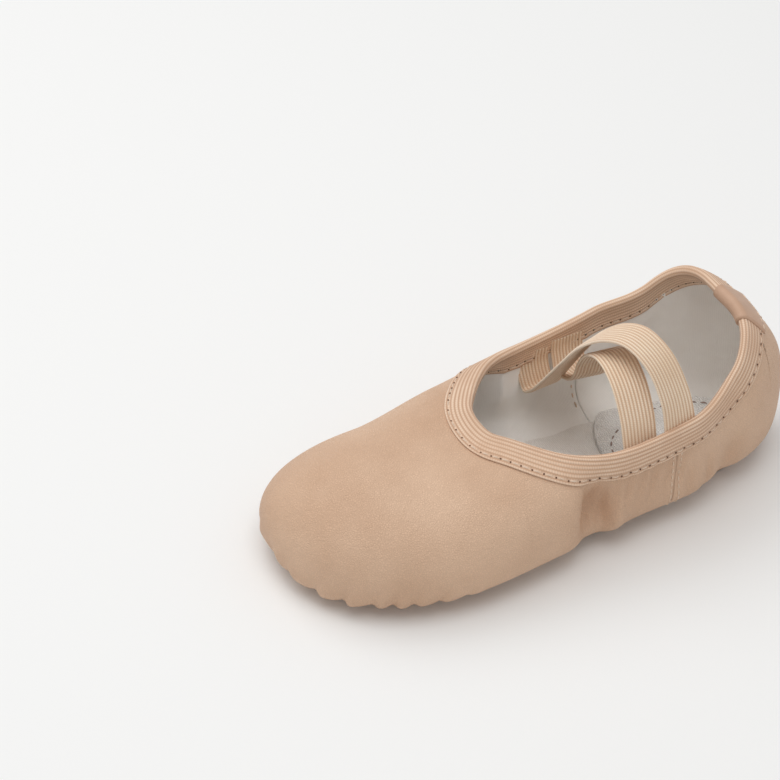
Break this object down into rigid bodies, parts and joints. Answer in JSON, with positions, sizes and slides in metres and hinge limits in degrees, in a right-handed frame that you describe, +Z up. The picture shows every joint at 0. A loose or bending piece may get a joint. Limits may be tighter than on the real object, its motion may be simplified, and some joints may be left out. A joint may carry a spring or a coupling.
{
  "type": "ballet slipper",
  "caption": "Soft split-sole ballet slipper with a folded elastic binding round the foot opening and two crossed elastic straps over the instep.",
  "frame": {"origin": "on the floor, under the middle of the slipper's length", "axes": "+Z up, -Y towards the toe, +X towards the wearer's left"},
  "size_m": [0.0771, 0.1864, 0.0668],
  "materials": {
    "leather": "satin",
    "tab_leather": "satin",
    "lining_cloth": "matte",
    "binding_elastic": "matte",
    "strap_elastic": "matte",
    "suede": "matte",
    "felt": "matte",
    "insole_canvas": "matte",
    "terry_cloth": "matte",
    "thread": "matte"
  },
  "bodies": {
    "shoe": {"vamp": "leather", "left_quarter": "leather", "right_quarter": "leather", "vamp_lining": "lining_cloth", "left_quarter_lining": "lining_cloth", "right_quarter_lining": "lining_cloth", "topline_binding": "binding_elastic", "heel_tab": "tab_leather", "back_seam_tape": "lining_cloth", "forefoot_sole_patch": "suede", "heel_sole_patch": "suede", "forefoot_filler": "felt", "heel_filler": "felt", "insole": "insole_canvas", "insole_overlocking": "thread", "heel_pad": "terry_cloth", "binding_stitching": "thread", "left_side_seam_stitching": "thread", "right_side_seam_stitching": "thread", "forefoot_sole_stitching": "thread", "heel_sole_stitching": "thread", "heel_tab_stitching": "thread", "back_seam_stitching": "thread"},
    "over_strap": {"over_strap": "strap_elastic"},
    "under_strap": {"under_strap": "strap_elastic"}
  },
  "joints": [
    {"name": "over_strap_swing", "type": "hinge", "parent": "shoe", "child": "over_strap", "pos_m": [0, 0.0252, 0.032], "axis": [0.9245, 0.3811, 0], "range_deg": [-18, 18], "stiffness_Nm_per_rad": 0.004},
    {"name": "under_strap_swing", "type": "hinge", "parent": "shoe", "child": "under_strap", "pos_m": [0.0001, 0.02697, 0.032], "axis": [0.9773, -0.212, 0], "range_deg": [-18, 18], "stiffness_Nm_per_rad": 0.004}
  ],
  "couplings": [
    {"joint": "under_strap_swing", "follows": "over_strap_swing", "ratio": 1}
  ]
}
